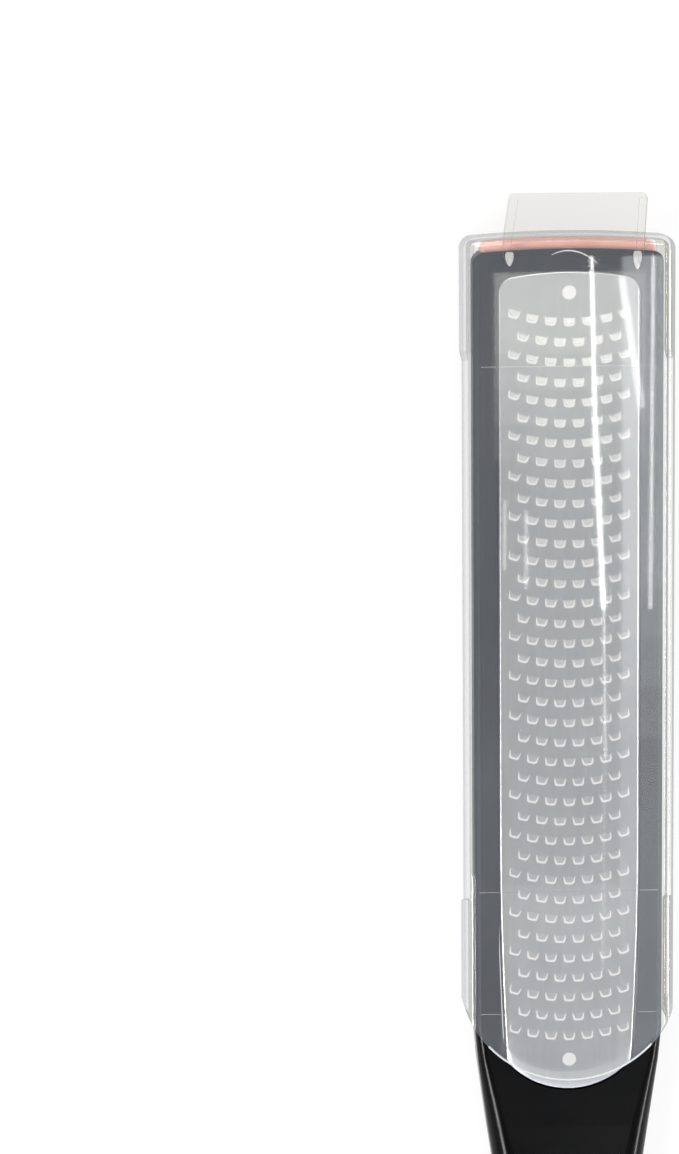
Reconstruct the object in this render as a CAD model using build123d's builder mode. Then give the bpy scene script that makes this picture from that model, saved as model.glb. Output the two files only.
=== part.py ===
"""Rasp zester with its slip-on blade cover.

The tool lies on its back: +Z is the side that the blade faces, +Y points to the tip, and the
flat underside of the frame and the handle is at Z = 0. The origin is the middle of that underside.
All lengths are in millimetres.
"""
import os
from math import cos, degrees, radians, sin, sqrt, tan

from build123d import *

os.makedirs("parts", exist_ok=True)

# Overall length of the tool, the blade's reach from the frame's tip, and the space that the cover
# adds in front
tool_length = 320.0
face_reach = 170.7
tab_reach = 7.8
end_gap = 0.3
end_wall = 0.9

# Frame: the straight front half that carries the blade
frame_width = 38.0
frame_height = 8.6
neck_length = 12.7
frame_length = face_reach - neck_length
frame_top_radius = 1.6
frame_bottom_radius = 0.8
frame_tip_radius = 2.4
tip_arc_radius = 225.0
frame_tip_bar = 5.2
neck_wall = 1.4
rail_width = 5.0
channel_width = frame_width - 2 * rail_width
channel_end_bulge = 2.0
channel_end_radius = channel_width / 2 + channel_end_bulge
channel_corner_radius = 3.0
rebate_depth = 1.2
rebate_height = 1.8
rebate_setback = 7.7
rebate_length = face_reach - rebate_setback

# Seam between the frame and the handle, an arc round the blade's end
seam_setback = 1.4
seam_reach = face_reach - seam_setback
seam_radius_margin = 1.4
seam_radius = frame_width / 2 + seam_radius_margin
seam_gap = 0.05

# Bezel that clamps the blade's edges on the frame
bezel_thickness = 1.2
bezel_inset = 1.2
bezel_clearance = 0.05
window_side_inset = 4.5
window_width = frame_width - 2 * window_side_inset
window_end_taper = 1.4
window_end_width = window_width - 2 * window_end_taper
window_taper_length = 52.7
window_taper_start = face_reach - window_taper_length
window_tip_inset = 3.94
window_tip_radius = 65.0
window_corner_radius = 3.6

# Blade: a pressed sheet whose face stands above its flat edge, sloping down all round
blade_thickness = 0.4
blade_edge_side_inset = 3.3
blade_edge_width = frame_width - 2 * blade_edge_side_inset
blade_edge_inset = 2.6
blade_edge_corner_radius = 4.6
blade_edge_end_gap = 0.3
face_rise = 1.8
face_side_gap = 0.25
face_end_bulge = 3.9
face_end_radius = window_end_width / 2 + face_end_bulge
end_slope_length = 4.6
end_hole_diameter = 2.8
tip_hole_inset = 8.63
end_hole_inset = 6.71

# Teeth: windows etched through the face, each with a raised tongue that cuts towards the handle
row_pitch = 4.02
first_row_inset = 14.4
last_row_inset = 11.5
row_count = 1 + int((face_reach - first_row_inset - last_row_inset) / row_pitch)
tooth_pitch = 3.72
row_radius = 37.0
slot_width = 2.5
row_side_margin = 0.6
row_width = window_end_width - 2 * row_side_margin - slot_width
wide_row_teeth = 1 + int(row_width / tooth_pitch)
slot_length = 1.8
slot_end_width = 2.1
tongue_end_width = 1.5
tongue_length = 1.3
tongue_rise = 0.35

# Handle
waist_inset = 5.6
waist_width = frame_width - 2 * waist_inset
grip_inset = 3.4
grip_width = frame_width - 2 * grip_inset
waist_height = 13.0
grip_height = 17.6
butt_inset = 6.5
butt_width = frame_width - 2 * butt_inset
butt_height = 12.4
butt_radius = 3.0
hang_hole_diameter = 7.0
hang_hole_inset = 12.0

# Tang of the frame inside the handle
tang_side_wall = 3.4
tang_width = waist_width - 2 * tang_side_wall
tang_height = 3.6
tang_floor = 2.5
tang_length = 96.0
tang_corner_radius = 4.0
tang_clearance = 0.05

# Tip foot
foot_thickness = 2.0
foot_side_inset = 1.8
foot_width = frame_width - 2 * foot_side_inset
foot_height = 8.0
foot_corner_radius = 1.8
foot_edge_chamfer = 0.5
foot_key_side_inset = 6.2
foot_key_width = foot_width - 2 * foot_key_side_inset
foot_key_height = 3.0
foot_key_depth = 2.4
foot_key_floor = 2.6
foot_key_clearance = 0.05

# Cover: a channel closed at the tip, with side walls that spread towards their back edges
cover_side_reach = 2.2
cover_back_width = frame_width + 2 * cover_side_reach
cover_side_wall = 1.3
cover_front_wall = 1.2
cover_draft = 1.2
cover_floor = 0.4
cover_front_clearance = 0.8
cover_corner_radius = 2.6
cover_edge_radius = 2.4
cover_setback = 2.86
cover_reach = face_reach - cover_setback
cover_end_bulge = 1.3
cover_end_radius = cover_back_width / 2 + cover_end_bulge
lip_thickness = 1.0
lip_hook = 0.8
shallow_start = 22.2
shallow_end_setback = 36.64
shallow_end = cover_reach - shallow_end_setback
shallow_depth = 5.0
shallow_slant = 1.6
front_step_depth = 0.15
front_step_start = 23.1
front_step_end_setback = 38.84
front_step_end = cover_reach - front_step_end_setback
mouth_step_length = 13.74
mouth_step_start = cover_reach - mouth_step_length
tab_side_inset = 5.0
tab_root_width = frame_width - 2 * tab_side_inset
tab_taper = 0.45
tab_width = tab_root_width - 2 * tab_taper
tab_offset = 0.5
tab_lean = 1.1
tab_thickness = 1.1
tab_corner_radius = 1.0
rib_width = 1.6
rib_height = 0.7
rib_fade_length = 3.0

# How far every cut runs past the faces that it opens
overrun = 2.0

# Places along the tool
overall_length = tool_length + end_gap + end_wall + tab_reach
handle_end_y = -overall_length / 2
foot_face_y = handle_end_y + tool_length
frame_tip_y = foot_face_y - foot_thickness
frame_end_y = frame_tip_y - frame_length
cover_tip_y = foot_face_y + end_gap + end_wall
cover_end_y = frame_tip_y - cover_reach
seam_end_y = frame_tip_y - seam_reach
face_end_y = frame_tip_y - face_reach
channel_tip_y = frame_tip_y - frame_tip_bar
channel_end_y = seam_end_y + neck_wall
tab_end_y = cover_tip_y + tab_reach
handle_length = frame_end_y - handle_end_y

# Levels above the underside
bezel_seat_z = frame_height - bezel_thickness
blade_seat_z = bezel_seat_z - blade_thickness
face_z = bezel_seat_z + face_rise
cover_inside_z = face_z + tongue_rise + cover_front_clearance
cover_front_z = cover_inside_z + cover_front_wall
top_z = max(cover_front_z, grip_height) + overrun

# Even stations along the handle, from the frame's end to the butt. Each holds the shares of frame,
# waist, grip and butt width, the same for the height, and the shares of the height that the top
# and bottom corners round.
handle_station_shares = [
    ((1, 0, 0, 0), (1, 0, 0, 0), 0.186, 0.093),
    ((0.56, 0.44, 0, 0), (0.84, 0.16, 0, 0), 0.42, 0.20),
    ((0.06, 0.94, 0, 0), (0.20, 0.80, 0, 0), 0.46, 0.30),
    ((0, 0.92, 0.08, 0), (0, 0.62, 0.38, 0), 0.47, 0.36),
    ((0, 0.45, 0.55, 0), (0, 0.16, 0.84, 0), 0.47, 0.40),
    ((0, 0.10, 0.90, 0), (0, 0, 1, 0), 0.48, 0.40),
    ((0, 0, 1, 0), (0, 0, 0.96, 0.04), 0.48, 0.40),
    ((0, 0, 0.75, 0.25), (0, 0, 0.66, 0.34), 0.48, 0.40),
    ((0, 0, 0, 1), (0, 0, 0, 1), 0.48, 0.40),
]
handle_sections_per_station = 3


def mixed(sizes, shares):
    """The sum of each size times its share."""
    return sum(size * share for size, share in zip(sizes, shares))


def eased(values, place):
    """A smooth curve through evenly spaced values, read at place, counted in stations."""
    first = min(int(place), len(values) - 2)
    t = place - first
    before = values[max(first - 1, 0)]
    start = values[first]
    end = values[first + 1]
    after = values[min(first + 2, len(values) - 1)]
    start_slope = (end - before) / 2
    end_slope = (after - start) / 2
    return (
        start * (1 + 2 * t) * (1 - t) ** 2
        + start_slope * t * (1 - t) ** 2
        + end * t**2 * (3 - 2 * t)
        - end_slope * t**2 * (1 - t)
    )


def arc_chord_y(end_y, radius, width):
    """Where an arc whose middle is at end_y reaches half of width on each side."""
    return end_y + radius - sqrt(radius**2 - width**2 / 4)


def draw_body_section(width, height, top_radius, bottom_radius):
    """A cross-section standing on the underside, for the sketch that is open."""
    Rectangle(width, height, align=(Align.CENTER, Align.MIN))
    fillet(vertices().group_by(Axis.Y)[-1], top_radius)
    fillet(vertices().group_by(Axis.Y)[0], bottom_radius)


def space_past_arc(end_y, radius, width):
    """All the space on the handle's side of an arc whose middle is at end_y."""
    chord_y = arc_chord_y(end_y, radius, width)
    with BuildPart() as space:
        with BuildSketch(Plane.XY.offset(-overrun)):
            with BuildLine():
                ThreePointArc((-width / 2, chord_y), (0, end_y), (width / 2, chord_y))
                Polyline(
                    (width / 2, chord_y),
                    (width / 2, handle_end_y - overrun),
                    (-width / 2, handle_end_y - overrun),
                    (-width / 2, chord_y),
                )
            make_face()
        extrude(amount=top_z + overrun)
    return space.part


def space_past_tip(tip_y, radius):
    """All the space in front of an arc across the tip whose middle is at tip_y."""
    half = cover_back_width / 2 + overrun
    side_y = tip_y - radius + sqrt(radius**2 - half**2)
    with BuildPart() as space:
        with BuildSketch(Plane.XY.offset(-overrun)):
            with BuildLine():
                ThreePointArc((-half, side_y), (0, tip_y), (half, side_y))
                Polyline(
                    (half, side_y),
                    (half, tab_end_y + overrun),
                    (-half, tab_end_y + overrun),
                    (-half, side_y),
                )
            make_face()
        extrude(amount=top_z + overrun)
    return space.part


def tip_block(width, tip_y, radius, corner_radius):
    """A tall block of the plan outline behind an arc across the tip, with rounded corners."""
    half = width / 2
    side_y = tip_y - radius + sqrt(radius**2 - half**2)
    with BuildPart() as block:
        with BuildSketch(Plane.XY.offset(-overrun)):
            with BuildLine():
                ThreePointArc((-half, side_y), (0, tip_y), (half, side_y))
                Polyline(
                    (half, side_y),
                    (half, handle_end_y),
                    (-half, handle_end_y),
                    (-half, side_y),
                )
            make_face()
            fillet(vertices().group_by(Axis.Y)[-1], corner_radius)
        extrude(amount=top_z + overrun)
    return block.part


def window_outline(spread):
    """The window over the blade, widened by spread."""
    half = window_width / 2 + spread
    end_half = window_end_width / 2 + spread
    tip_y = frame_tip_y - window_tip_inset + spread
    tip_side_y = tip_y - window_tip_radius + sqrt(window_tip_radius**2 - half**2)
    taper_y = frame_tip_y - window_taper_start
    end_y = face_end_y - spread
    end_side_y = arc_chord_y(end_y, face_end_radius + spread, 2 * end_half)
    with BuildSketch() as outline:
        with BuildLine():
            ThreePointArc((-half, tip_side_y), (0, tip_y), (half, tip_side_y))
            Line((half, tip_side_y), (half, taper_y))
            TangentArc((half, taper_y), (end_half, end_side_y), tangent=(0, -1))
            ThreePointArc((end_half, end_side_y), (0, end_y), (-end_half, end_side_y))
            TangentArc((-half, taper_y), (-end_half, end_side_y), tangent=(0, -1))
            Line((-half, taper_y), (-half, tip_side_y))
        make_face()
        fillet(vertices().group_by(Axis.Y)[-1], window_corner_radius + spread)
    return outline.sketch


def pressed_face(inset):
    """The form under the blade's raised face, drawn in by inset, with its sloped rim."""
    base_z = blade_seat_z - face_rise
    with BuildPart() as form:
        with BuildSketch(Plane.XY.offset(base_z)):
            add(window_outline(-face_side_gap - inset))
        extrude(amount=face_z - inset - base_z)
        top_face = form.faces().sort_by(Axis.Z)[-1]
        end_edge = top_face.edges().sort_by(Axis.Y)[0]
        chamfer(end_edge, end_slope_length, face_rise, reference=top_face)
        split(bisect_by=Plane.XY.offset(blade_seat_z))
    return form.part


# Outer form of the frame and the handle together
handle_widths = (frame_width, waist_width, grip_width, butt_width)
handle_heights = (frame_height, waist_height, grip_height, butt_height)
station_widths = [mixed(handle_widths, station[0]) for station in handle_station_shares]
station_heights = [mixed(handle_heights, station[1]) for station in handle_station_shares]
station_tops = [height * station[2] for height, station in zip(station_heights, handle_station_shares)]
station_bottoms = [height * station[3] for height, station in zip(station_heights, handle_station_shares)]
section_count = handle_sections_per_station * (len(handle_station_shares) - 1)
with BuildPart() as tool_form:
    with BuildSketch(Plane.XZ.offset(-frame_tip_y)):
        draw_body_section(frame_width, frame_height, frame_top_radius, frame_bottom_radius)
    extrude(amount=frame_length)
    add(
        tip_block(frame_width, frame_tip_y, tip_arc_radius, frame_tip_radius),
        mode=Mode.INTERSECT,
    )
    with BuildSketch(Plane.XZ.offset(-frame_end_y)):
        draw_body_section(frame_width, frame_height, frame_top_radius, frame_bottom_radius)
    for section in range(1, section_count + 1):
        place = section / handle_sections_per_station
        with BuildSketch(Plane.XZ.offset(-frame_end_y + section / section_count * handle_length)):
            draw_body_section(
                eased(station_widths, place),
                eased(station_heights, place),
                eased(station_tops, place),
                eased(station_bottoms, place),
            )
    loft(ruled=True)
    fillet(faces().sort_by(Axis.Y)[0].edges(), butt_radius)
    rebate_box_width = rebate_depth + overrun
    with BuildSketch(Plane.XZ.offset(-frame_tip_y - overrun)):
        for side in (-1, 1):
            with Locations((side * (frame_width / 2 + overrun - rebate_box_width / 2), 0)):
                Rectangle(rebate_box_width, 2 * rebate_height)
    extrude(amount=rebate_length + overrun, mode=Mode.SUBTRACT)

# Tang with rounded corners, and the pocket that the handle leaves for it
tang_root_y = channel_end_y - neck_wall / 2
tang_end_y = tang_root_y - tang_length


def tang_form(clearance):
    """The tang widened all round by clearance."""
    with BuildPart() as form:
        with BuildSketch(Plane.XY.offset(tang_floor - clearance)):
            with Locations((0, (tang_root_y + tang_end_y) / 2)):
                RectangleRounded(
                    tang_width + 2 * clearance,
                    tang_length + 2 * clearance,
                    tang_corner_radius,
                )
        extrude(amount=tang_height + 2 * clearance)
    return form.part


# Zest channel, open underneath
with BuildPart() as channel:
    with BuildSketch(Plane.XY.offset(-overrun)):
        channel_side_y = arc_chord_y(channel_end_y, channel_end_radius, channel_width)
        with BuildLine():
            Polyline(
                (-channel_width / 2, channel_side_y),
                (-channel_width / 2, channel_tip_y),
                (channel_width / 2, channel_tip_y),
                (channel_width / 2, channel_side_y),
            )
            ThreePointArc(
                (channel_width / 2, channel_side_y),
                (0, channel_end_y),
                (-channel_width / 2, channel_side_y),
            )
        make_face()
        fillet(vertices().group_by(Axis.Y)[-1], channel_corner_radius)
    extrude(amount=top_z + overrun)

# Seats cut into the frame and the handle for the bezel and the blade
with BuildPart() as bezel_seat:
    with BuildSketch(Plane.XY.offset(bezel_seat_z)):
        with Locations((0, frame_tip_y - bezel_inset)):
            Rectangle(
                frame_width - 2 * bezel_inset,
                face_reach,
                align=(Align.CENTER, Align.MAX),
            )
        fillet(vertices().group_by(Axis.Y)[-1], frame_tip_radius - bezel_inset)
    extrude(amount=top_z - bezel_seat_z)
    add(space_past_arc(seam_end_y, seam_radius, frame_width), mode=Mode.SUBTRACT)

with BuildPart() as blade_seat:
    with BuildSketch(Plane.XY.offset(blade_seat_z)):
        with Locations((0, frame_tip_y - blade_edge_inset + bezel_clearance)):
            Rectangle(
                blade_edge_width + 2 * bezel_clearance,
                face_reach,
                align=(Align.CENTER, Align.MAX),
            )
        fillet(vertices().group_by(Axis.Y)[-1], blade_edge_corner_radius)
    extrude(amount=top_z - blade_seat_z)
    add(space_past_arc(seam_end_y, seam_radius, frame_width), mode=Mode.SUBTRACT)

with BuildPart() as face_seat:
    with BuildSketch(Plane.XY.offset(blade_seat_z)):
        add(window_outline(bezel_clearance - face_side_gap))
    extrude(amount=top_z - blade_seat_z)

# Tip foot: an end pad with a key behind it


def foot_key(clearance):
    """The key behind the foot, widened all round by clearance."""
    with BuildPart() as form:
        with BuildSketch(Plane.XZ.offset(-frame_tip_y)):
            with Locations((0, foot_key_floor - clearance)):
                Rectangle(
                    foot_key_width + 2 * clearance,
                    foot_key_height + 2 * clearance,
                    align=(Align.CENTER, Align.MIN),
                )
        extrude(amount=foot_key_depth + clearance)
    return form.part


with BuildPart() as foot:
    with BuildSketch(Plane.XY):
        with Locations((0, cover_tip_y)):
            Rectangle(
                foot_width,
                cover_tip_y - frame_tip_y + frame_tip_radius,
                align=(Align.CENTER, Align.MAX),
            )
    extrude(amount=foot_height)
    add(
        tip_block(foot_width, foot_face_y, tip_arc_radius + foot_thickness, foot_corner_radius),
        mode=Mode.INTERSECT,
    )
    add(space_past_tip(frame_tip_y, tip_arc_radius), mode=Mode.INTERSECT)
    chamfer(faces().sort_by(Axis.Z)[-1].edges().sort_by(Axis.Y)[-1], foot_edge_chamfer)
    add(foot_key(0))
foot.part.label = "tip_foot"
export_step(foot.part, "parts/tip_foot.step")

# Frame
with BuildPart() as frame:
    add(tool_form.part)
    add(space_past_arc(seam_end_y, seam_radius, frame_width + overrun), mode=Mode.SUBTRACT)
    add(channel.part, mode=Mode.SUBTRACT)
    add(bezel_seat.part, mode=Mode.SUBTRACT)
    add(blade_seat.part, mode=Mode.SUBTRACT)
    add(foot_key(foot_key_clearance), mode=Mode.SUBTRACT)
    add(tang_form(0))
frame.part.label = "frame"
export_step(frame.part, "parts/frame.step")

# Handle
with BuildPart() as handle:
    add(tool_form.part)
    add(
        space_past_arc(seam_end_y - seam_gap, seam_radius + seam_gap, frame_width + overrun),
        mode=Mode.INTERSECT,
    )
    add(tang_form(tang_clearance), mode=Mode.SUBTRACT)
    add(face_seat.part, mode=Mode.SUBTRACT)
    with Locations((0, handle_end_y + hang_hole_inset, grip_height)):
        Hole(hang_hole_diameter / 2)
handle.part.label = "handle"
export_step(handle.part, "parts/handle.step")

# Bezel
with BuildPart() as bezel:
    with BuildSketch(Plane.XY.offset(bezel_seat_z)):
        with Locations((0, frame_tip_y - bezel_inset - bezel_clearance)):
            Rectangle(
                frame_width - 2 * bezel_inset - 2 * bezel_clearance,
                face_reach,
                align=(Align.CENTER, Align.MAX),
            )
        fillet(vertices().group_by(Axis.Y)[-1], frame_tip_radius - bezel_inset)
    extrude(amount=bezel_thickness)
    add(space_past_arc(seam_end_y + seam_gap, seam_radius, frame_width), mode=Mode.SUBTRACT)
    with BuildSketch(Plane.XY.offset(bezel_seat_z)):
        add(window_outline(0))
    extrude(amount=bezel_thickness, mode=Mode.SUBTRACT)
bezel.part.label = "bezel"
export_step(bezel.part, "parts/bezel.step")

# Blade before its teeth
with BuildPart() as sheet:
    with BuildSketch(Plane.XY.offset(blade_seat_z)):
        with Locations((0, frame_tip_y - blade_edge_inset)):
            Rectangle(blade_edge_width, face_reach, align=(Align.CENTER, Align.MAX))
        fillet(vertices().group_by(Axis.Y)[-1], blade_edge_corner_radius)
    extrude(amount=blade_thickness)
    add(
        space_past_arc(seam_end_y + blade_edge_end_gap, seam_radius, frame_width),
        mode=Mode.SUBTRACT,
    )
    add(pressed_face(0))
    add(pressed_face(blade_thickness), mode=Mode.SUBTRACT)
    with Locations((0, frame_tip_y - tip_hole_inset, face_z)):
        Hole(end_hole_diameter / 2)
    with Locations((0, face_end_y + end_hole_inset, face_z)):
        Hole(end_hole_diameter / 2)

# One tooth: its slot, and its tongue hinged at the slot's tip side
with BuildPart() as slot:
    with BuildSketch(Plane.XY.offset(-blade_thickness - overrun)):
        with BuildLine():
            Polyline(
                (-slot_width / 2, slot_length / 2),
                (slot_width / 2, slot_length / 2),
                (slot_end_width / 2, -slot_length / 2),
                (-slot_end_width / 2, -slot_length / 2),
                close=True,
            )
        make_face()
    extrude(amount=blade_thickness + 2 * overrun)

with BuildPart() as tongue:
    with BuildSketch(Plane.YZ.offset(-slot_width / 2)):
        root_y = slot_length / 2
        with BuildLine():
            Polyline(
                (root_y, 0),
                (root_y, -blade_thickness),
                (root_y - tongue_length, tongue_rise - blade_thickness),
                (root_y - tongue_length, tongue_rise),
                close=True,
            )
        make_face()
    extrude(amount=slot_width)
    with BuildSketch(Plane.XY.offset(-blade_thickness - overrun)):
        with BuildLine():
            Polyline(
                (-slot_width / 2, root_y),
                (slot_width / 2, root_y),
                (tongue_end_width / 2, root_y - tongue_length),
                (-tongue_end_width / 2, root_y - tongue_length),
                close=True,
            )
        make_face()
    extrude(amount=blade_thickness + 2 * overrun, mode=Mode.INTERSECT)

# Teeth in curved rows, one fewer in every second row
tooth_places = []
for row in range(row_count):
    teeth_in_row = wide_row_teeth - row % 2
    row_y = frame_tip_y - first_row_inset - row * row_pitch
    for tooth in range(teeth_in_row):
        turn = (tooth - (teeth_in_row - 1) / 2) * tooth_pitch / row_radius
        tooth_x = row_radius * sin(turn)
        tooth_y = row_y + row_radius * (1 - cos(turn))
        tooth_places.append(Location((tooth_x, tooth_y, face_z), (0, 0, degrees(turn))))

with BuildPart() as blade:
    add(sheet.part)
    with Locations(*tooth_places):
        add(slot.part, mode=Mode.SUBTRACT)
    with Locations(*tooth_places):
        add(tongue.part)
blade.part.label = "blade"
export_step(blade.part, "parts/blade.step")
print(f"teeth: {len(tooth_places)}")


cover_tip_arc_radius = tip_arc_radius + foot_thickness + end_gap + end_wall


def cover_half_width(z, wall):
    """Half the cover's width at a level, to the face that lies wall inside its outer one."""
    return cover_back_width / 2 - wall - (z - cover_floor) * tan(radians(cover_draft))


def cover_form(side_wall, tip_wall, floor_z, front_z):
    """The cover's outer form, or the form of its inside, with rounded tip and front edges."""
    with BuildPart() as form:
        with BuildSketch(Plane.XZ.offset(-cover_tip_y + tip_wall)):
            with BuildLine():
                Polyline(
                    (-cover_half_width(floor_z, side_wall), floor_z),
                    (cover_half_width(floor_z, side_wall), floor_z),
                    (cover_half_width(front_z, side_wall), front_z),
                    (-cover_half_width(front_z, side_wall), front_z),
                    close=True,
                )
            make_face()
        extrude(amount=cover_tip_y - cover_end_y + overrun)
        add(
            space_past_tip(cover_tip_y - tip_wall, cover_tip_arc_radius - tip_wall),
            mode=Mode.SUBTRACT,
        )
        tip_edges = form.faces().sort_by(Axis.Y)[-1].edges().sort_by(Axis.X)
        fillet([tip_edges[0], tip_edges[-1]], cover_corner_radius - side_wall)
        front_edges = form.faces().sort_by(Axis.Z)[-1].edges().sort_by(Axis.Y)[1:]
        fillet(front_edges, cover_edge_radius - side_wall)
    return form.part


# Cover
lip_top_z = cover_floor + lip_thickness
lip_half_width = frame_width / 2 - lip_hook
inside_tip_y = cover_tip_y - end_wall
with BuildPart() as mouth:
    with BuildSketch(Plane.XY):
        with Locations((0, cover_tip_y)):
            Rectangle(
                2 * lip_half_width,
                cover_tip_y - cover_end_y + overrun,
                align=(Align.CENTER, Align.MAX),
            )
    extrude(amount=lip_top_z + overrun)
    add(
        tip_block(
            2 * lip_half_width,
            inside_tip_y,
            cover_tip_arc_radius - end_wall,
            cover_corner_radius - cover_side_wall,
        ),
        mode=Mode.INTERSECT,
    )

with BuildPart() as cover:
    add(cover_form(0, 0, cover_floor, cover_front_z))
    add(cover_form(cover_side_wall, end_wall, lip_top_z, cover_inside_z), mode=Mode.SUBTRACT)
    add(mouth.part, mode=Mode.SUBTRACT)
    shallow_z = cover_floor + shallow_depth
    with BuildSketch(Plane.YZ.offset(-cover_back_width / 2 - overrun)):
        with BuildLine():
            Polyline(
                (frame_tip_y - shallow_start + shallow_slant, 0),
                (frame_tip_y - shallow_start, shallow_z),
                (frame_tip_y - shallow_end, shallow_z),
                (frame_tip_y - shallow_end - shallow_slant, 0),
                close=True,
            )
        make_face()
    extrude(amount=cover_back_width + 2 * overrun, mode=Mode.SUBTRACT)
    inside_front_width = 2 * cover_half_width(cover_inside_z, cover_side_wall + cover_edge_radius)
    with BuildSketch(Plane.XY.offset(cover_inside_z - overrun)):
        with Locations((0, frame_tip_y - front_step_start)):
            Rectangle(
                inside_front_width,
                front_step_end - front_step_start,
                align=(Align.CENTER, Align.MAX),
            )
        with Locations((0, frame_tip_y - mouth_step_start)):
            Rectangle(
                inside_front_width,
                mouth_step_length + overrun,
                align=(Align.CENTER, Align.MAX),
            )
    extrude(amount=overrun + front_step_depth, mode=Mode.SUBTRACT)
    add(
        space_past_arc(cover_end_y, cover_end_radius, 2 * cover_half_width(0, -overrun / 4)),
        mode=Mode.SUBTRACT,
    )
    with BuildSketch(Plane.XY.offset(cover_front_z - tab_thickness)):
        with BuildLine():
            Polyline(
                (tab_offset - tab_root_width / 2, cover_tip_y - cover_edge_radius),
                (tab_offset + tab_root_width / 2, cover_tip_y - cover_edge_radius),
                (tab_offset + tab_lean + tab_width / 2, tab_end_y),
                (tab_offset + tab_lean - tab_width / 2, tab_end_y),
                close=True,
            )
        make_face()
        fillet(vertices().group_by(Axis.Y)[-1], tab_corner_radius)
    extrude(amount=tab_thickness)
    with BuildSketch(Plane.XY.offset(cover_front_z - tab_thickness)):
        for side in (-1, 1):
            rib_x = tab_offset + side * (tab_root_width - rib_width) / 2
            rib_end_x = tab_offset + tab_lean + side * (tab_width - rib_width) / 2
            with BuildLine():
                Polyline(
                    (rib_end_x - rib_width / 2, tab_end_y - tab_corner_radius),
                    (rib_end_x + rib_width / 2, tab_end_y - tab_corner_radius),
                    (rib_x + rib_width / 2, frame_tip_y),
                    (rib_x, frame_tip_y - rib_fade_length),
                    (rib_x - rib_width / 2, frame_tip_y),
                    close=True,
                )
            make_face()
    extrude(amount=tab_thickness + rib_height)
cover.part.label = "cover"
export_step(cover.part, "parts/cover.step")
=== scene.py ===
"""A rasp zester under its slip-on cover, on a white table in soft studio light."""

import math

import bmesh
import bpy
from mathutils import Matrix, Vector
from mathutils.geometry import delaunay_2d_cdt


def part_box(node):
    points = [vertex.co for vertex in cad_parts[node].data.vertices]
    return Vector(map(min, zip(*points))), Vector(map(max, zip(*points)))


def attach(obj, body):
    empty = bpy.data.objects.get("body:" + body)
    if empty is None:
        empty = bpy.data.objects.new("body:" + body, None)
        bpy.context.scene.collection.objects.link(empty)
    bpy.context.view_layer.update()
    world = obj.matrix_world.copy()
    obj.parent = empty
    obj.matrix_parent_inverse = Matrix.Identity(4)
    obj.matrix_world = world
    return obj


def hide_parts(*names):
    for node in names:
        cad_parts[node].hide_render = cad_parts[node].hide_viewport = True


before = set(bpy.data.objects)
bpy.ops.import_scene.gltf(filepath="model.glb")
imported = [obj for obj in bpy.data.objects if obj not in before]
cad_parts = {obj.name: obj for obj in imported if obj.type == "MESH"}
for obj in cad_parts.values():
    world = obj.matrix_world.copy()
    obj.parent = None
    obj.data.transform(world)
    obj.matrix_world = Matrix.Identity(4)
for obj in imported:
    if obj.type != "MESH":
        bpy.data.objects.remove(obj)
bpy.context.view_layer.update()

PHOTO_WIDTH = 679
PHOTO_HEIGHT = 1154
MILLIMETRE = 0.001

# The values that a noise mostly stays between
NOISE_LOW = 0.3
NOISE_HIGH = 0.7


# Node helpers


def new_material(name):
    """An empty node material with its output."""
    material = bpy.data.materials.new(name)
    material.use_nodes = True
    tree = material.node_tree
    tree.nodes.clear()
    output = tree.nodes.new("ShaderNodeOutputMaterial")
    return material, tree, output


def node(tree, kind, **settings):
    """A new node. Settings whose names are sockets become their values."""
    made = tree.nodes.new(kind)
    for name, value in settings.items():
        socket = made.inputs.get(name.replace("_", " "))
        if socket is None:
            setattr(made, name, value)
        else:
            socket.default_value = value
    return made


def link(tree, source, target):
    """Joins two sockets."""
    tree.links.new(source, target)


def coordinates(tree, scale=(1, 1, 1)):
    """Object coordinates in metres, stretched by scale."""
    place = node(tree, "ShaderNodeTexCoord")
    mapping = node(tree, "ShaderNodeMapping")
    mapping.inputs["Scale"].default_value = scale
    link(tree, place.outputs["Object"], mapping.inputs["Vector"])
    return mapping.outputs["Vector"]


def noise(tree, vector, scale, detail=4.0, roughness=0.55):
    """A noise value over vector."""
    made = node(tree, "ShaderNodeTexNoise", Scale=scale, Detail=detail, Roughness=roughness)
    link(tree, vector, made.inputs["Vector"])
    return made.outputs["Fac"]


def spread(tree, value, low, high, from_low=NOISE_LOW, from_high=NOISE_HIGH):
    """Maps a value from one range to another."""
    made = node(tree, "ShaderNodeMapRange")
    made.inputs["From Min"].default_value = from_low
    made.inputs["From Max"].default_value = from_high
    made.inputs["To Min"].default_value = low
    made.inputs["To Max"].default_value = high
    link(tree, value, made.inputs["Value"])
    return made.outputs["Result"]


def colour_between(tree, value, low, high):
    """A colour that goes from low to high with a noise."""
    made = node(tree, "ShaderNodeValToRGB")
    made.color_ramp.elements[0].position = NOISE_LOW
    made.color_ramp.elements[0].color = (*low, 1)
    made.color_ramp.elements[1].position = NOISE_HIGH
    made.color_ramp.elements[1].color = (*high, 1)
    link(tree, value, made.inputs["Fac"])
    return made.outputs["Color"]


def bump(tree, value, strength, distance):
    """A bump from a height value."""
    made = node(tree, "ShaderNodeBump", Strength=strength, Distance=distance)
    link(tree, value, made.inputs["Height"])
    return made.outputs["Normal"]


def math_node(tree, operation, first, second):
    """A math node over two sockets or numbers."""
    made = node(tree, "ShaderNodeMath", operation=operation)
    for place, value in enumerate((first, second)):
        if isinstance(value, (int, float)):
            made.inputs[place].default_value = value
        else:
            link(tree, value, made.inputs[place])
    return made.outputs["Value"]


def mixed_shader(tree, share, first, second):
    """A shader that goes from first to second as share goes from 0 to 1."""
    made = node(tree, "ShaderNodeMixShader")
    link(tree, share, made.inputs["Fac"])
    link(tree, first.outputs[0], made.inputs[1])
    link(tree, second.outputs[0], made.inputs[2])
    return made


# Materials


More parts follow.
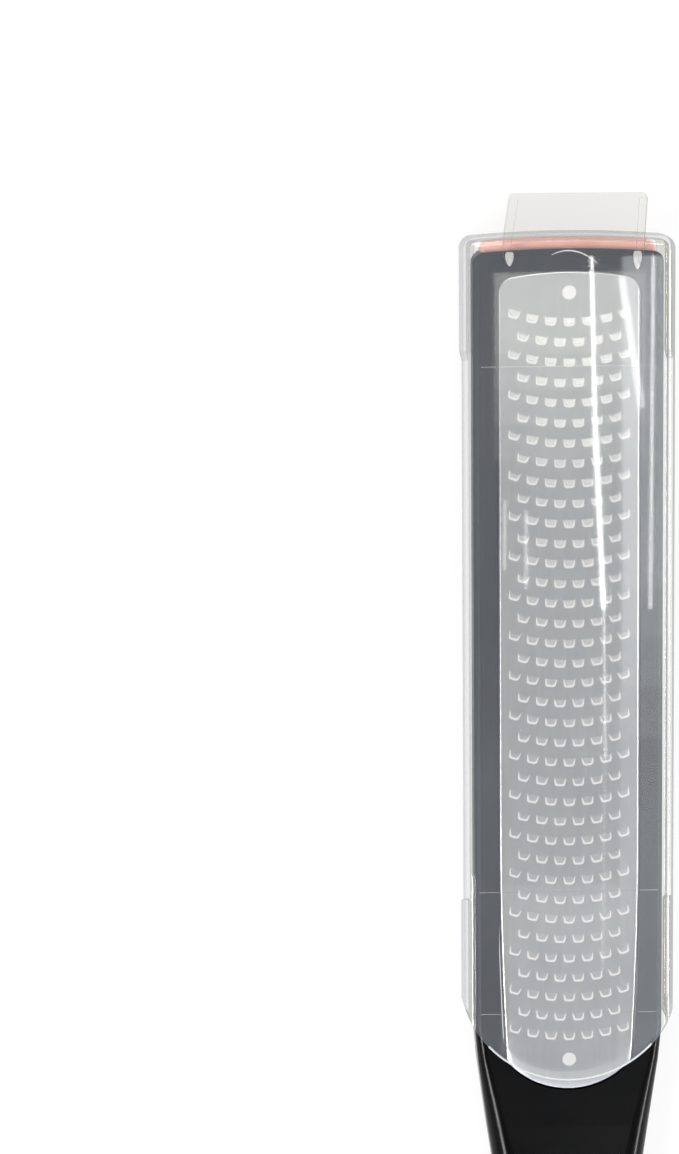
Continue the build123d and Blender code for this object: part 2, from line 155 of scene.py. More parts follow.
def black_plastic(name, colours, roughness, grain_scale, specular):
    """A black moulding with faint grain and handling marks."""
    material, tree, output = new_material(name)
    shader = node(tree, "ShaderNodeBsdfPrincipled", IOR=1.5)
    shader.inputs["Specular IOR Level"].default_value = specular
    vector = coordinates(tree)
    clouds = noise(tree, vector, scale=60.0)
    grain = noise(tree, vector, scale=grain_scale, detail=2.0)
    link(tree, colour_between(tree, clouds, *colours), shader.inputs["Base Color"])
    link(tree, spread(tree, clouds, *roughness), shader.inputs["Roughness"])
    link(tree, bump(tree, grain, strength=0.02, distance=0.00005), shader.inputs["Normal"])
    link(tree, shader.outputs["BSDF"], output.inputs["Surface"])
    return material


def etched_steel():
    """Etched stainless steel with fine rolling grain along the blade."""
    material, tree, output = new_material("etched_steel")
    shader = node(tree, "ShaderNodeBsdfPrincipled", Metallic=1.0)
    grain = noise(tree, coordinates(tree, (1400, 60, 1400)), scale=1.0, detail=5.0)
    clouds = noise(tree, coordinates(tree), scale=45.0)
    half_grain = math_node(tree, "MULTIPLY", grain, 0.5)
    half_clouds = math_node(tree, "MULTIPLY", clouds, 0.5)
    both = math_node(tree, "ADD", half_grain, half_clouds)
    colour = colour_between(tree, both, low=(0.63, 0.655, 0.69), high=(0.75, 0.775, 0.81))
    link(tree, colour, shader.inputs["Base Color"])
    link(tree, spread(tree, both, low=0.30, high=0.42), shader.inputs["Roughness"])
    link(tree, bump(tree, grain, strength=0.12, distance=0.00004), shader.inputs["Normal"])
    link(tree, shader.outputs["BSDF"], output.inputs["Surface"])
    return material


def coral_rubber():
    """Matte coral rubber with a fine pebbled skin."""
    material, tree, output = new_material("coral_rubber")
    shader = node(tree, "ShaderNodeBsdfPrincipled", IOR=1.48)
    vector = coordinates(tree)
    clouds = noise(tree, vector, scale=120.0)
    grain = noise(tree, vector, scale=2600.0, detail=2.0)
    colour = colour_between(tree, clouds, low=(0.95, 0.50, 0.44), high=(0.98, 0.57, 0.51))
    link(tree, colour, shader.inputs["Base Color"])
    link(tree, spread(tree, clouds, low=0.5, high=0.68), shader.inputs["Roughness"])
    link(tree, bump(tree, grain, strength=0.3, distance=0.00006), shader.inputs["Normal"])
    link(tree, shader.outputs["BSDF"], output.inputs["Surface"])
    return material


# A Mix node's colour sockets come after its number and vector sockets
MIX_FIRST_COLOUR = 6
MIX_SECOND_COLOUR = 7
MIX_COLOUR = 2

# How glossy the cover is, how much milkier and glossier it is edge on, and how late that comes
EDGE_LATENESS = 3.0
EDGE_MILK = 0.5
GLOSS = 0.035
EDGE_GLOSS = 0.08


def seen_through(tree, edge_on):
    """A clear shader that tints deeper edge on: partly the longer way through it, partly painted shade.
    """
    clear = node(tree, "ShaderNodeBsdfTransparent")
    tint = node(tree, "ShaderNodeMix", data_type="RGBA")
    tint.inputs[MIX_FIRST_COLOUR].default_value = (0.965, 0.957, 0.94, 1)
    # The edge-on grey, partly painted shade
    tint.inputs[MIX_SECOND_COLOUR].default_value = (0.64, 0.62, 0.58, 1)
    link(tree, edge_on, tint.inputs["Factor"])
    link(tree, tint.outputs[MIX_COLOUR], clear.inputs["Color"])
    return clear


def frosted_plastic():
    """Thin clear polypropylene with a milky veil, glossy outside, greyer edge on, partly as painted
    shade.
    """
    material, tree, output = new_material("frosted_polypropylene")
    clouds = noise(tree, coordinates(tree), scale=28.0)
    ripples = noise(tree, coordinates(tree, (1.0, 0.25, 1.0)), scale=90.0, detail=1.0)
    facing = node(tree, "ShaderNodeLayerWeight", Blend=0.5)
    edge_on = math_node(tree, "POWER", facing.outputs["Facing"], EDGE_LATENESS)
    milk = node(tree, "ShaderNodeBsdfPrincipled", Roughness=0.45, IOR=1.45)
    milk.inputs["Specular IOR Level"].default_value = 0.1
    colour = colour_between(tree, clouds, low=(0.40, 0.44, 0.51), high=(0.46, 0.50, 0.57))
    link(tree, colour, milk.inputs["Base Color"])
    veil = spread(tree, clouds, low=0.055, high=0.072)
    milk_share = math_node(tree, "ADD", veil, math_node(tree, "MULTIPLY", edge_on, EDGE_MILK))
    body = mixed_shader(tree, milk_share, seen_through(tree, edge_on), milk)
    gloss = node(tree, "ShaderNodeBsdfGlossy", Color=(1, 1, 1, 1))
    link(tree, spread(tree, clouds, low=0.014, high=0.022), gloss.inputs["Roughness"])
    link(tree, bump(tree, ripples, strength=0.008, distance=0.0001), gloss.inputs["Normal"])
    gloss_share = math_node(tree, "ADD", math_node(tree, "MULTIPLY", edge_on, EDGE_GLOSS), GLOSS)
    whole = mixed_shader(tree, gloss_share, body, gloss)
    link(tree, whole.outputs["Shader"], output.inputs["Surface"])
    return material


def milky_plastic_and_highlight():
    """White milky plastic for the cover's strands, a painted highlight on the drops and partly on the
    bead.
    """
    material, tree, output = new_material("milky_polypropylene_and_highlight")
    shader = node(tree, "ShaderNodeBsdfPrincipled", Roughness=0.3, IOR=1.45)
    clouds = noise(tree, coordinates(tree), scale=300.0)
    colour = colour_between(tree, clouds, low=(0.82, 0.84, 0.87), high=(0.90, 0.91, 0.93))
    link(tree, colour, shader.inputs["Base Color"])
    clear = node(tree, "ShaderNodeBsdfTransparent", Color=(1, 1, 1, 1))
    mixed = mixed_shader(tree, spread(tree, clouds, low=0.55, high=0.75), clear, shader)
    link(tree, mixed.outputs["Shader"], output.inputs["Surface"])
    return material


frame_black = black_plastic(
    "frame_black",
    colours=((0.010, 0.012, 0.017), (0.016, 0.0185, 0.025)),
    roughness=(0.36, 0.5),
    grain_scale=900.0,
    specular=0.22,
)
handle_black = black_plastic(
    "handle_black",
    colours=((0.001, 0.001, 0.0012), (0.003, 0.003, 0.0033)),
    roughness=(0.17, 0.22),
    grain_scale=2400.0,
    specular=0.14,
)
steel = etched_steel()
dressed = {
    "cover": frosted_plastic(),
    "blade": steel,
    "bezel": frame_black,
    "frame": frame_black,
    "handle": handle_black,
    "tip_foot": coral_rubber(),
}
for name, material in dressed.items():
    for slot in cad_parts[name].material_slots:
        slot.link = "OBJECT"
        slot.material = material


# Outlines, in millimetres


def box_in_millimetres(name):
    """The lowest and highest corners of a CAD node."""
    return [[round(value / MILLIMETRE, 3) for value in corner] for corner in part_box(name)]


def arc_points(centre, radius, start, end, count):
    """Points along an arc, from one angle to another in degrees."""
    angles = [math.radians(start + (end - start) * step / count) for step in range(count + 1)]
    return [
        Vector((centre[0] + radius * math.cos(angle), centre[1] + radius * math.sin(angle)))
        for angle in angles
    ]


def arc_level(x, lowest_y, radius):
    """The y at x of an arc that bulges towards the handle, with its middle at lowest_y."""
    return lowest_y + radius - math.sqrt(max(radius**2 - x**2, 0))


def mirrored(points):
    """Points on the other side of the middle, in the opposite order."""
    return [Vector((-point.x, point.y)) for point in reversed(points)]


def moved_in(points, amount):
    """A closed anticlockwise outline moved inwards by amount."""
    moved = []
    for place, point in enumerate(points):
        along = (points[(place + 1) % len(points)] - points[place - 1]).normalized()
        outward = Vector((along.y, -along.x))
        moved.append(point + outward * -amount)
    return moved


def inside(point, outline):
    """Whether a point lies inside a closed outline."""
    within = False
    for place, first in enumerate(outline):
        second = outline[place - 1]
        if (first.y > point.y) != (second.y > point.y):
            crossing = (second.x - first.x) * (point.y - first.y) / (second.y - first.y) + first.x
            if point.x < crossing:
                within = not within
    return within


# Blade, in millimetres: the raised face with its rounded rim and the bent lip at its end
SHEET = 0.4
TONGUE_RISE = 0.35
blade_low, blade_high = box_in_millimetres("blade")
FRAME_TIP_Y = box_in_millimetres("frame")[1][1]
EDGE_Z = blade_low[2] + SHEET
FACE_Z = blade_high[2] - TONGUE_RISE
FACE_HALF = 14.25
FACE_END_HALF = 12.85
FACE_TIP_INSET = 4.19
FACE_TIP_Y = FRAME_TIP_Y - FACE_TIP_INSET
FACE_TIP_RADIUS = 64.75
FACE_CORNER_RADIUS = 3.35
FACE_END_Y = blade_low[1]
FACE_END_RADIUS = 16.75
TAPER_START_Y = 35.5
RIM_WIDTH = 0.55
RIM_INSETS = (0.0, 0.04, 0.12, 0.24, 0.39, RIM_WIDTH)
BEND_Y = -12.3
BEND_RADIUS = 23.0
LIP_DROP = 0.45
LEAST_LIP = 0.5

# Points that carry the lip's fall: rows that follow the bend, each this far past the one before
LIP_ROWS = 5
LIP_ROW_PITCH = 0.8
LIP_POINT_PITCH = 0.95
LIP_POINTS_EACH_SIDE = 12
LIP_POINT_MARGIN = 0.15

# Steps along the outline's stretches
CORNER_STEPS = 8
TIP_STEPS = 16
SIDE_STEPS = 26
TAPER_STEPS = 14
END_STEPS = 30

# Teeth: U-shaped slots open towards the tip, each round a tongue that curls up, in curved rows with
# one tooth fewer in every second row
FIRST_ROW_INSET = 14.4
ROW_PITCH = 4.02
ROW_COUNT = 37
ROW_RADIUS = 37.0
WIDE_ROW_TEETH = 7
TOOTH_PITCH = 3.72
SLOT_TOP = (1.25, 0.92)
SLOT_SHOULDER = (1.17, 0.3)
SLOT_CORNER = (0.48, -0.28)
SLOT_CORNER_RADIUS = 0.64
SLOT_CORNER_STEPS = 5
TONGUE_TOP = (1.02, 0.62)
TONGUE_SHOULDER = (0.87, 0.3)
TONGUE_CORNER = (0.36, 0.03)
TONGUE_CORNER_RADIUS = 0.4
TONGUE_CORNER_STEPS = 4
TONGUE_LENGTH = SLOT_TOP[1] - (TONGUE_CORNER[1] - TONGUE_CORNER_RADIUS)

# The two holes in the blade's middle, near its ends
HOLE_RADIUS = 1.4
HOLE_SIDES = 24
TIP_HOLE_INSET = 8.63
END_HOLE_INSET = 6.46
HOLE_PLACES = ((0, FRAME_TIP_Y - TIP_HOLE_INSET), (0, FACE_END_Y + END_HOLE_INSET))

# The triangulation keeps what lies inside its closed outlines, and joins points nearer than this
ONLY_INSIDE = 1
NEARNESS = 1e-5

# Edges that turn by more degrees than this look sharp
BLADE_CREASE = 24


def face_outline():
    """The raised face's outline, anticlockwise from the right side of its tip corner."""
    tip_centre_y = FACE_TIP_Y - FACE_TIP_RADIUS
    corner_x = FACE_HALF - FACE_CORNER_RADIUS
    corner_y = tip_centre_y + math.sqrt((FACE_TIP_RADIUS - FACE_CORNER_RADIUS) ** 2 - corner_x**2)
    meet = math.degrees(math.atan2(corner_y - tip_centre_y, corner_x))
    end_centre = (0, FACE_END_Y + FACE_END_RADIUS)
    half_angle = math.degrees(math.asin(FACE_END_HALF / FACE_END_RADIUS))
    side_end_y = arc_level(FACE_END_HALF, FACE_END_Y, FACE_END_RADIUS)
    right_side = []
    for step in reversed(range(TAPER_STEPS)):
        share = step / TAPER_STEPS
        x = FACE_HALF - (FACE_HALF - FACE_END_HALF) * share**2
        right_side.append(Vector((x, TAPER_START_Y + (side_end_y - TAPER_START_Y) * share)))
    for step in range(1, SIDE_STEPS):
        y = TAPER_START_Y + (corner_y - TAPER_START_Y) * step / SIDE_STEPS
        right_side.append(Vector((FACE_HALF, y)))
    corner = arc_points((corner_x, corner_y), FACE_CORNER_RADIUS, 0, meet, CORNER_STEPS)
    tip = arc_points((0, tip_centre_y), FACE_TIP_RADIUS, meet, 180 - meet, TIP_STEPS)[1:-1]
    end = arc_points(end_centre, FACE_END_RADIUS, 270 - half_angle, 270 + half_angle, END_STEPS)
    return corner + tip + mirrored(corner) + mirrored(right_side) + end + right_side


def face_height(point):
    """The face's level, which falls along the lip past the bend."""
    past = arc_level(point.x, BEND_Y, BEND_RADIUS) - point.y
    if past <= 0:
        return FACE_Z
    end_y = arc_level(point.x, FACE_END_Y, FACE_END_RADIUS)
    length = max(past + point.y - end_y, LEAST_LIP)
    return FACE_Z - LIP_DROP * min(past / length, 1)


def lip_row(past, outline):
    """Points inside outline that follow the bend at a distance past it."""
    row = []
    for step in range(-LIP_POINTS_EACH_SIDE, LIP_POINTS_EACH_SIDE + 1):
        x = step * LIP_POINT_PITCH
        point = Vector((x, arc_level(x, BEND_Y - past, BEND_RADIUS)))
        if inside(point, outline):
            row.append(point)
    return row


def slot_edge(top, shoulder, corner, radius, steps):
    """One edge of a slot, from its left end down round its middle to its right end."""
    right_half = arc_points(corner, radius, -90, 0, steps) + [Vector(shoulder), Vector(top)]
    return mirrored(right_half) + [Vector((0, corner[1] - radius))] + right_half


def tooth_outline():
    """A tooth's slot: its outer edge and then its inner edge round the tongue, with their levels."""
    outer = slot_edge(SLOT_TOP, SLOT_SHOULDER, SLOT_CORNER, SLOT_CORNER_RADIUS, SLOT_CORNER_STEPS)
    inner = slot_edge(
        TONGUE_TOP, TONGUE_SHOULDER, TONGUE_CORNER, TONGUE_CORNER_RADIUS, TONGUE_CORNER_STEPS
    )
    inner.reverse()
    levels = [FACE_Z] * len(outer)
    levels += [FACE_Z + TONGUE_RISE * (SLOT_TOP[1] - point.y) / TONGUE_LENGTH for point in inner]
    return outer + inner, levels


def tooth_places():
    """Every tooth's turn about its row's centre and its place."""
    for row in range(ROW_COUNT):
        teeth = WIDE_ROW_TEETH - row % 2
        row_y = FRAME_TIP_Y - FIRST_ROW_INSET - row * ROW_PITCH
        for tooth in range(teeth):
            turn = (tooth - (teeth - 1) / 2) * TOOTH_PITCH / ROW_RADIUS
            x = ROW_RADIUS * math.sin(turn)
            yield turn, Vector((x, row_y + ROW_RADIUS * (1 - math.cos(turn))))


class Net:
    """Lines of points, each point at its level, and the openings that the surface over them leaves."""

    def __init__(self):
        self.points = []
        self.levels = []
        self.edges = []
        self.owners = []
        self.openings = []

    def add_line(self, line, levels, closed=True, owner=None):
        """A line of points, open or closed into a loop."""
        first = len(self.points)
        links = len(line) if closed else len(line) - 1
        self.points += line
        self.levels += levels
        self.owners += [owner] * len(line)
        self.edges += [(first + step, first + (step + 1) % len(line)) for step in range(links)]

    def add_opening(self, line, levels):
        """A closed line of points with nothing inside it."""
        self.openings.append(line)
        self.add_line(line, levels, owner=len(self.openings) - 1)

    def in_opening(self, corners, marks):
        """Whether a triangle lies inside the opening whose edge all its corners are on."""
        if len(marks) > 1 or None in marks:
            return False
        middle = sum(corners, Vector((0, 0))) / len(corners)
        return inside(middle, self.openings[marks.pop()])

    def mesh(self, name, level_between):
        """The surface over the lines. level_between gives the level where lines cross."""
        places, _, faces, made_from, _, _ = delaunay_2d_cdt(
            self.points, self.edges, [], ONLY_INSIDE, NEARNESS
        )
        made = bmesh.new()
        corners = []
        for point, source in zip(places, made_from):
            level = self.levels[source[0]] if source else level_between(point)
            corners.append(made.verts.new(Vector((point.x, point.y, level)) * MILLIMETRE))
        for face in faces:
            marks = {self.owners[made_from[place][0]] if made_from[place] else None for place in face}
            if not self.in_opening([places[place] for place in face], marks):
                made.faces.new([corners[place] for place in face]).smooth = True
        loose = [corner for corner in made.verts if not corner.link_faces]
        bmesh.ops.delete(made, geom=loose, context="VERTS")
        data = bpy.data.meshes.new(name)
        made.to_mesh(data)
        made.free()
        return data


def blade_net():
    """The blade's upper side: its rim, its lip, its teeth and its two holes."""
    net = Net()
    outline = face_outline()
    for inset in RIM_INSETS:
        ring = moved_in(outline, inset)
        rise = math.sqrt(max(1 - (1 - inset / RIM_WIDTH) ** 2, 0))
        net.add_line(ring, [EDGE_Z + (face_height(point) - EDGE_Z) * rise for point in ring])
    lip_limit = moved_in(outline, RIM_WIDTH + LIP_POINT_MARGIN)
    for row in range(LIP_ROWS):
        line = lip_row(row * LIP_ROW_PITCH, lip_limit)
        net.add_line(line, [face_height(point) for point in line], closed=False)
    tooth, tooth_levels = tooth_outline()
    for turn, place in tooth_places():
        spin = Matrix.Rotation(turn, 2)
        net.add_opening([spin @ point + place for point in tooth], tooth_levels)
    last_angle = 360 - 360 / HOLE_SIDES
    for centre in HOLE_PLACES:
        hole = arc_points(centre, HOLE_RADIUS, 0, last_angle, HOLE_SIDES - 1)
        net.add_opening(hole, [FACE_Z] * len(hole))
    return net


def thickened(piece, thickness, crease):
    """A piece's mesh with a sheet's thickness under it, and its edges over crease degrees sharp."""
    sheet = piece.modifiers.new("sheet", "SOLIDIFY")
    sheet.thickness = thickness
    sheet.offset = -1.0
    seen = piece.evaluated_get(bpy.context.evaluated_depsgraph_get())
    solid = bpy.data.meshes.new_from_object(seen)
    piece.modifiers.clear()
    mesh = bmesh.new()
    mesh.from_mesh(solid)
    for edge in mesh.edges:
        edge.smooth = len(edge.link_faces) == 2 and edge.calc_face_angle() < math.radians(crease)
    for face in mesh.faces:
        face.smooth = True
    mesh.to_mesh(solid)
    mesh.free()
    return solid


blade = bpy.data.objects.new("blade_fine", blade_net().mesh("blade_upper_side", face_height))
bpy.context.scene.collection.objects.link(blade)
blade.data = thickened(blade, SHEET * MILLIMETRE, BLADE_CREASE)
blade.data.materials.append(steel)
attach(blade, "tool")
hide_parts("blade")


# Cover details, in millimetres: the bead along its back edge, partly a painted highlight, the milky
# drops that are painted highlights, the milky arc near the tip, and the fine cross lines left by its
# moulding
COVER_CLEARANCE = 0.8
COVER_WALL = 1.2
COVER_INSIDE_Z = FACE_Z + TONGUE_RISE + COVER_CLEARANCE
COVER_FRONT_Z = COVER_INSIDE_Z + COVER_WALL
COVER_END_Y = box_in_millimetres("cover")[0][1]
COVER_END_RADIUS = 22.5
STRAND_SIDES = 10

BEAD_HALF = 16.5
BEAD_RADIUS = 0.2
BEAD_STEPS_EACH_SIDE = 24

# The drops, painted highlights, with their radii at shares of their length from their top
DROP_TOP_Y = 153.0
DROP_DEPTH = 0.2
DROP_FLATNESS = 0.22
DROP_SHARES = (0.0, 0.12, 0.3, 0.5, 0.7, 0.85, 0.95, 1.0)
DROP_RADII = (0.62, 0.8, 0.86, 0.8, 0.62, 0.42, 0.22, 0.06)
DROP_PLACES = {"left": -11.9, "right": 13.4}
DROP_LENGTHS = {"left": 2.8, "right": 3.7}

# The milky arc near the tip, a row of points that falls away on both sides of its top point
MARK_LEFT_X = -3.6
MARK_WIDTH = 9.2
MARK_TOP_Y = 153.2
MARK_DEPTH = 0.08
MARK_POINTS = 15
MARK_TOP_POINT = 5
MARK_FALL = 0.16
MARK_FALL_POINTS = 2.2
MARK_LEAST_RADIUS = 0.07
MARK_SWELL = 0.09
MARK_FLATNESS = 0.6

# Each cross line: its left end, its right end and its place along the cover
CROSS_LINES = (
    (-17.6, 17.6, 130.4),
    (-18.2, -12.8, 24.5),
    (14.2, 17.8, 24.5),
    (-18.0, -12.9, -0.6),
    (13.8, 17.4, -0.6),
)
CROSS_LINE_RADIUS = 0.05
CROSS_LINE_STEPS = 6

milk_and_highlight_material = milky_plastic_and_highlight()


def strand_mesh(name, points, radii, flatness):
    """A closed strand through points, as thick as radii say and flattened by flatness."""
    mesh = bmesh.new()
    rings = []
    for place, (point, radius) in enumerate(zip(points, radii)):
        before = points[max(place - 1, 0)]
        after = points[min(place + 1, len(points) - 1)]
        along = (Vector(after) - Vector(before)).normalized()
        side = along.cross(Vector((0, 0, 1))).normalized()
        rise = side.cross(along).normalized()
        ring = []
        for step in range(STRAND_SIDES):
            angle = 2 * math.pi * step / STRAND_SIDES
            offset = side * math.cos(angle) + flatness * rise * math.sin(angle)
            ring.append(mesh.verts.new((Vector(point) + radius * offset) * MILLIMETRE))
        rings.append(ring)
    for first, second in zip(rings, rings[1:]):
        for step in range(STRAND_SIDES):
            after = (step + 1) % STRAND_SIDES
            mesh.faces.new((first[step], first[after], second[after], second[step])).smooth = True
    mesh.faces.new(reversed(rings[0]))
    mesh.faces.new(rings[-1])
    bmesh.ops.recalc_face_normals(mesh, faces=mesh.faces)
    data = bpy.data.meshes.new(name)
    mesh.to_mesh(data)
    mesh.free()
    return data


def cover_strand(name, points, radii, flatness=1.0):
    """A milky strand that rides on the cover, on some strands a painted highlight."""
    data = strand_mesh(name, points, radii, flatness)
    data.materials.append(milk_and_highlight_material)
    piece = bpy.data.objects.new(name, data)
    bpy.context.scene.collection.objects.link(piece)
    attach(piece, "cover")


# The bead's white is partly the thick plastic's own milk, partly a painted highlight
bead = []
for step in range(2 * BEAD_STEPS_EACH_SIDE + 1):
    x = BEAD_HALF * (step / BEAD_STEPS_EACH_SIDE - 1)
    y = arc_level(x, COVER_END_Y, COVER_END_RADIUS) + BEAD_RADIUS
    bead.append((x, y, COVER_FRONT_Z - BEAD_RADIUS))
cover_strand("cover_back_bead_and_highlight", bead, [BEAD_RADIUS] * len(bead))

# Two milky drops under the cover's front near the tip: painted highlights
for name, x in DROP_PLACES.items():
    length = DROP_LENGTHS[name]
    drop = [(x, DROP_TOP_Y - length * share, COVER_INSIDE_Z - DROP_DEPTH) for share in DROP_SHARES]
    cover_strand(f"cover_highlight_drop_{name}", drop, DROP_RADII, DROP_FLATNESS)

mark = []
mark_radii = []
for step in range(MARK_POINTS):
    x = MARK_LEFT_X + MARK_WIDTH * step / (MARK_POINTS - 1)
    fall = MARK_FALL * ((step - MARK_TOP_POINT) / MARK_FALL_POINTS) ** 2
    mark.append((x, MARK_TOP_Y - fall, COVER_INSIDE_Z - MARK_DEPTH))
    swell = MARK_SWELL * math.sin(math.pi * (step + 0.5) / MARK_POINTS)
    mark_radii.append(MARK_LEAST_RADIUS + swell)
cover_strand("cover_tip_arc", mark, mark_radii, MARK_FLATNESS)

for place, (left_end, right_end, y) in enumerate(CROSS_LINES):
    pitch = (right_end - left_end) / CROSS_LINE_STEPS
    line = [
        (left_end + pitch * step, y, COVER_INSIDE_Z - CROSS_LINE_RADIUS)
        for step in range(CROSS_LINE_STEPS + 1)
    ]
    cover_strand(f"cover_step_{place}", line, [CROSS_LINE_RADIUS] * len(line))


# Table, in metres, a hair under the object. It looks white to the camera and in reflections, and lights
# the object only as grey paper would
TABLE_HALF = 3.0
TABLE_Z = -0.0002
TABLE_GREY = 0.86
TABLE_GLOW_SHARE = 0.86


def white_table():
    """Grey paper that glows white where the camera or a reflection sees it."""
    material, tree, output = new_material("white_table")
    grey = (TABLE_GREY, TABLE_GREY, TABLE_GREY, 1)
    paper = node(tree, "ShaderNodeBsdfPrincipled", Base_Color=grey, Roughness=0.7)
    glow = node(tree, "ShaderNodeEmission", Color=(1, 1, 1, 1), Strength=1.0)
    path = node(tree, "ShaderNodeLightPath")
    seen = math_node(tree, "MAXIMUM", path.outputs["Is Camera Ray"], path.outputs["Is Glossy Ray"])
    seen = math_node(tree, "MAXIMUM", seen, path.outputs["Is Transmission Ray"])
    share = math_node(tree, "MULTIPLY", seen, TABLE_GLOW_SHARE)
    link(tree, mixed_shader(tree, share, paper, glow).outputs["Shader"], output.inputs["Surface"])
    return material


table_mesh = bpy.data.meshes.new("table")
table_corners = [
    (-TABLE_HALF, -TABLE_HALF, TABLE_Z),
    (TABLE_HALF, -TABLE_HALF, TABLE_Z),
    (TABLE_HALF, TABLE_HALF, TABLE_Z),
    (-TABLE_HALF, TABLE_HALF, TABLE_Z),
]
table_mesh.from_pydata(table_corners, [], [(0, 1, 2, 3)])
table_mesh.materials.append(white_table())
table = bpy.data.objects.new("table", table_mesh)
bpy.context.scene.collection.objects.link(table)


# World: a pale studio, bright near the sides and dark overhead, where the cover would mirror it
SIDE_STRENGTH = 0.62
OVERHEAD_STRENGTH = 0.06
SIDE_HEIGHT = 0.55
OVERHEAD_HEIGHT = 0.92

world = bpy.data.worlds.new("studio")
bpy.context.scene.world = world
world.use_nodes = True
sky = world.node_tree.nodes["Background"]
sky.inputs["Color"].default_value = (0.97, 0.985, 1.0, 1)
direction = node(world.node_tree, "ShaderNodeTexCoord")
parts = node(world.node_tree, "ShaderNodeSeparateXYZ")
link(world.node_tree, direction.outputs["Generated"], parts.inputs["Vector"])
strength = spread(
    world.node_tree, parts.outputs["Z"], SIDE_STRENGTH, OVERHEAD_STRENGTH, SIDE_HEIGHT, OVERHEAD_HEIGHT
)
link(world.node_tree, strength, sky.inputs["Strength"])


# Camera, in metres: nearly square on to the blade, a little from the left and from the tip's side. It
# turns aside so that the object stands right of the picture's middle, as in the photograph
CAMERA_TARGET = Vector((0.0, 0.08811, 0.0086))
CAMERA_AWAY = Vector((-0.100, 0.139, 0.985)).normalized()
CAMERA_DISTANCE = 0.8
FOCAL_PIXELS = 4006
OBJECT_PIXEL_X = 569
SENSOR_WIDTH = 36.0

right = Vector((0, 1, 0)).cross(CAMERA_AWAY).normalized()
up = CAMERA_AWAY.cross(right)
aside = math.atan((OBJECT_PIXEL_X - PHOTO_WIDTH / 2) / FOCAL_PIXELS)
camera_data = bpy.data.cameras.new("camera")
camera_data.sensor_width = SENSOR_WIDTH
camera_data.lens = FOCAL_PIXELS * SENSOR_WIDTH / PHOTO_HEIGHT
camera = bpy.data.objects.new("camera", camera_data)
bpy.context.scene.collection.objects.link(camera)
basis = Matrix.Rotation(aside, 3, up) @ Matrix((right, up, CAMERA_AWAY)).transposed()
eye = CAMERA_TARGET + CAMERA_DISTANCE * CAMERA_AWAY
camera.matrix_world = Matrix.Translation(eye) @ basis.to_4x4()
bpy.context.scene.camera = camera


# Lights


def area_light(name, place, target, size, radiance, colour, spin=0.0):
    """A rectangular lamp that faces target, size[1] long towards the tip before its spin."""
    data = bpy.data.lights.new(name, "AREA")
    data.shape = "RECTANGLE"
    data.size = size[0]
    data.size_y = size[1]
    data.energy = radiance * math.pi * size[0] * size[1]
    data.color = colour
    lamp = bpy.data.objects.new(name, data)
    bpy.context.scene.collection.objects.link(lamp)
    back = (Vector(place) - Vector(target)).normalized()
    side = Vector((0, 1, 0)).cross(back).normalized()
    turned = Matrix.Rotation(spin, 3, back) @ Matrix((side, back.cross(side), back)).transposed()
    lamp.matrix_world = Matrix.Translation(place) @ turned.to_4x4()


def mirrored_light(name, start, end, width, radiance, colour, height):
    """A level lamp whose reflection on the cover's front runs from start to end, in millimetres."""
    front_z = COVER_FRONT_Z * MILLIMETRE
    grow = (height + eye.z - 2 * front_z) / (eye.z - front_z)
    ends = [
        Vector((
            eye.x + (point[0] * MILLIMETRE - eye.x) * grow,
            eye.y + (point[1] * MILLIMETRE - eye.y) * grow,
            height,
        ))
        for point in (start, end)
    ]
    middle = (ends[0] + ends[1]) / 2
    along = ends[1] - ends[0]
    size = (width * MILLIMETRE * grow, along.length)
    below = (middle.x, middle.y, 0)
    area_light(name, middle, below, size, radiance, colour, math.atan2(-along.x, along.y))


WHITE = (1, 1, 1)
WARM = (1.0, 0.99, 0.97)
CREAM = (1.0, 0.96, 0.90)
IVORY = (1.0, 0.98, 0.94)
COOL = (0.95, 0.975, 1.0)
SKY_BLUE = (0.93, 0.97, 1.0)

# Lamps that face a part of the object, in metres: each one's place, what it faces, its size, its
# radiance and its colour
HANDLE_ROOT = (0, -0.03, 0.01)
BLADE_LIP = (0, -0.016, 0.008)
FACING_LAMPS = {
    "tip_softbox": ((-0.3, 1.75, 1.0), (0, 0.05, 0), (1.3, 0.75), 5.5, WARM),
    "blade_panel": ((0.10, 0.16, 1.0), (0.10, 0.16, 0), (0.70, 0.86), 0.38, COOL),
    "cream_lamp": ((0.12, 0.86, 1.2), (0.02, 0.14, 0), (0.40, 0.22), 8.0, CREAM),
    "left_strip": ((-0.66, -0.48, 0.72), HANDLE_ROOT, (0.22, 0.6), 26.0, WHITE),
    "right_strip": ((0.9, -0.25, 0.42), HANDLE_ROOT, (0.10, 0.8), 34.0, WHITE),
    "lip_panel": ((0.05, -1.0, 0.62), BLADE_LIP, (0.7, 0.22), 2.6, WHITE),
    "lip_fill": ((0.08, -0.62, 1.0), BLADE_LIP, (0.4, 0.24), 1.3, WHITE),
}

for name, settings in FACING_LAMPS.items():
    area_light(name, *settings)

# Lamps for the reflections in the cover's front: where each one's reflection starts and ends and how
# wide it is, in millimetres, its radiance and its colour
GLARE_X = 16.5
GLARE_TIP = (GLARE_X, 152)
GLARE_END_Y = -14
GLARE_LONG = ((GLARE_X, GLARE_END_Y), GLARE_TIP, 13.0, 1.35, SKY_BLUE)
END_BLOOM = ((-2, GLARE_END_Y), (-2, 26), 24.0, 0.8, SKY_BLUE)

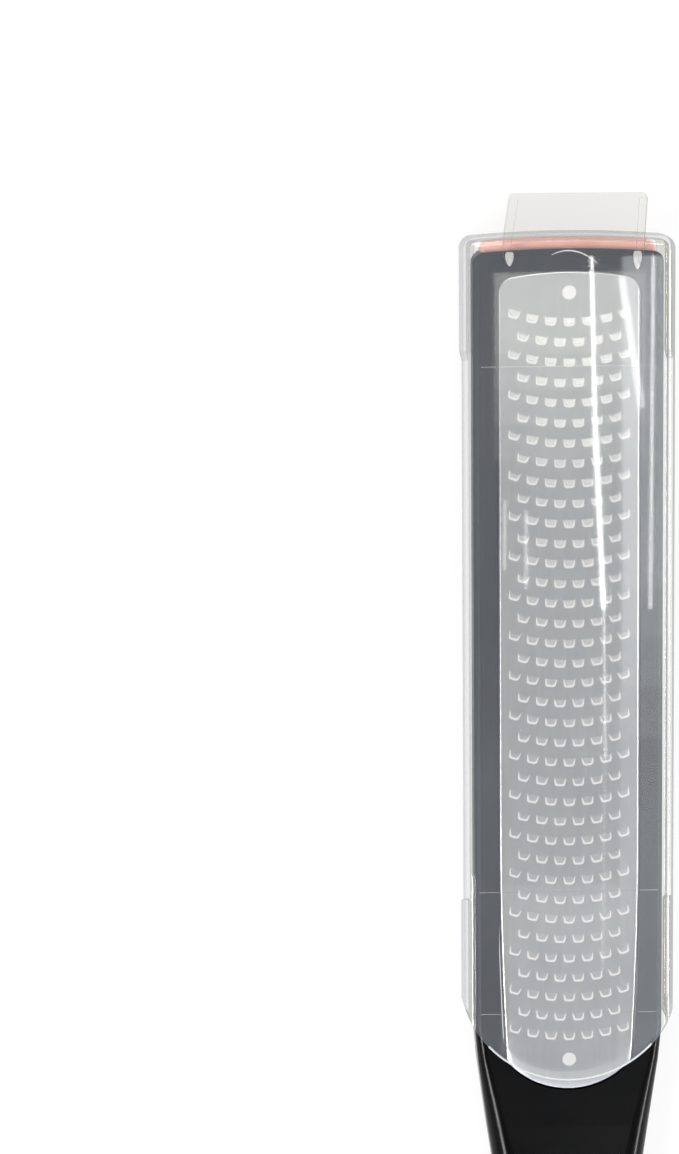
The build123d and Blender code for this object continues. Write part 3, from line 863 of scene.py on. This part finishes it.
# Stacks of lamps, for a soft end: they start one after the other and have the rest in common
GLARE_TOP_STARTS = ((GLARE_X, 56), (GLARE_X, 66), (GLARE_X, 76), (GLARE_X, 86))
GLARE_TOP = (GLARE_TIP, 12.0, 0.5, SKY_BLUE)
TOP_GLOW_STARTS = ((0, 112), (0, 119), (0, 126), (0, 133))
TOP_GLOW = ((0, 149), 30.0, 0.65, IVORY)

# Narrow streaks, each from its start to its end like the lamps above
STREAKS = (
    ((5.0, 118), (4.2, 152), 0.7, 16.0, WHITE),
    ((6.6, 82), (5.0, 118), 1.0, 14.0, WHITE),
    ((7.0, 52), (6.7, 86), 0.35, 9.0, WHITE),
    ((6.6, 8), (7.0, 54), 0.3, 3.5, WHITE),
    ((10.1, 148), (14.2, 122), 1.5, 6.0, WHITE),
    ((16.0, 82), (16.4, 152), 0.6, 9.0, WHITE),
    ((-13.1, 90), (-13.0, 104), 0.5, 5.0, WHITE),
    ((-8.9, 86), (-8.8, 102), 0.7, 4.0, WHITE),
)

# Their heights in metres. Two lamps at one height would hide each other
GLARE_LONG_HEIGHT = 0.98
GLARE_TOP_HEIGHT = 0.965
END_BLOOM_HEIGHT = 0.985
TOP_GLOW_HEIGHT = 0.988
STACK_PITCH = 0.003
STREAK_HEIGHT = 0.94
STREAK_PITCH = 0.008

mirrored_light("glare_long", *GLARE_LONG, GLARE_LONG_HEIGHT)
for place, start in enumerate(GLARE_TOP_STARTS):
    height = GLARE_TOP_HEIGHT - place * STACK_PITCH
    mirrored_light(f"glare_top_{place}", start, *GLARE_TOP, height)
mirrored_light("end_bloom", *END_BLOOM, END_BLOOM_HEIGHT)
for place, start in enumerate(TOP_GLOW_STARTS):
    height = TOP_GLOW_HEIGHT + place * STACK_PITCH
    mirrored_light(f"top_glow_{place}", start, *TOP_GLOW, height)
for place, streak in enumerate(STREAKS):
    mirrored_light(f"streak_{place}", *streak, STREAK_HEIGHT - place * STREAK_PITCH)

bpy.context.scene.view_settings.view_transform = "Standard"
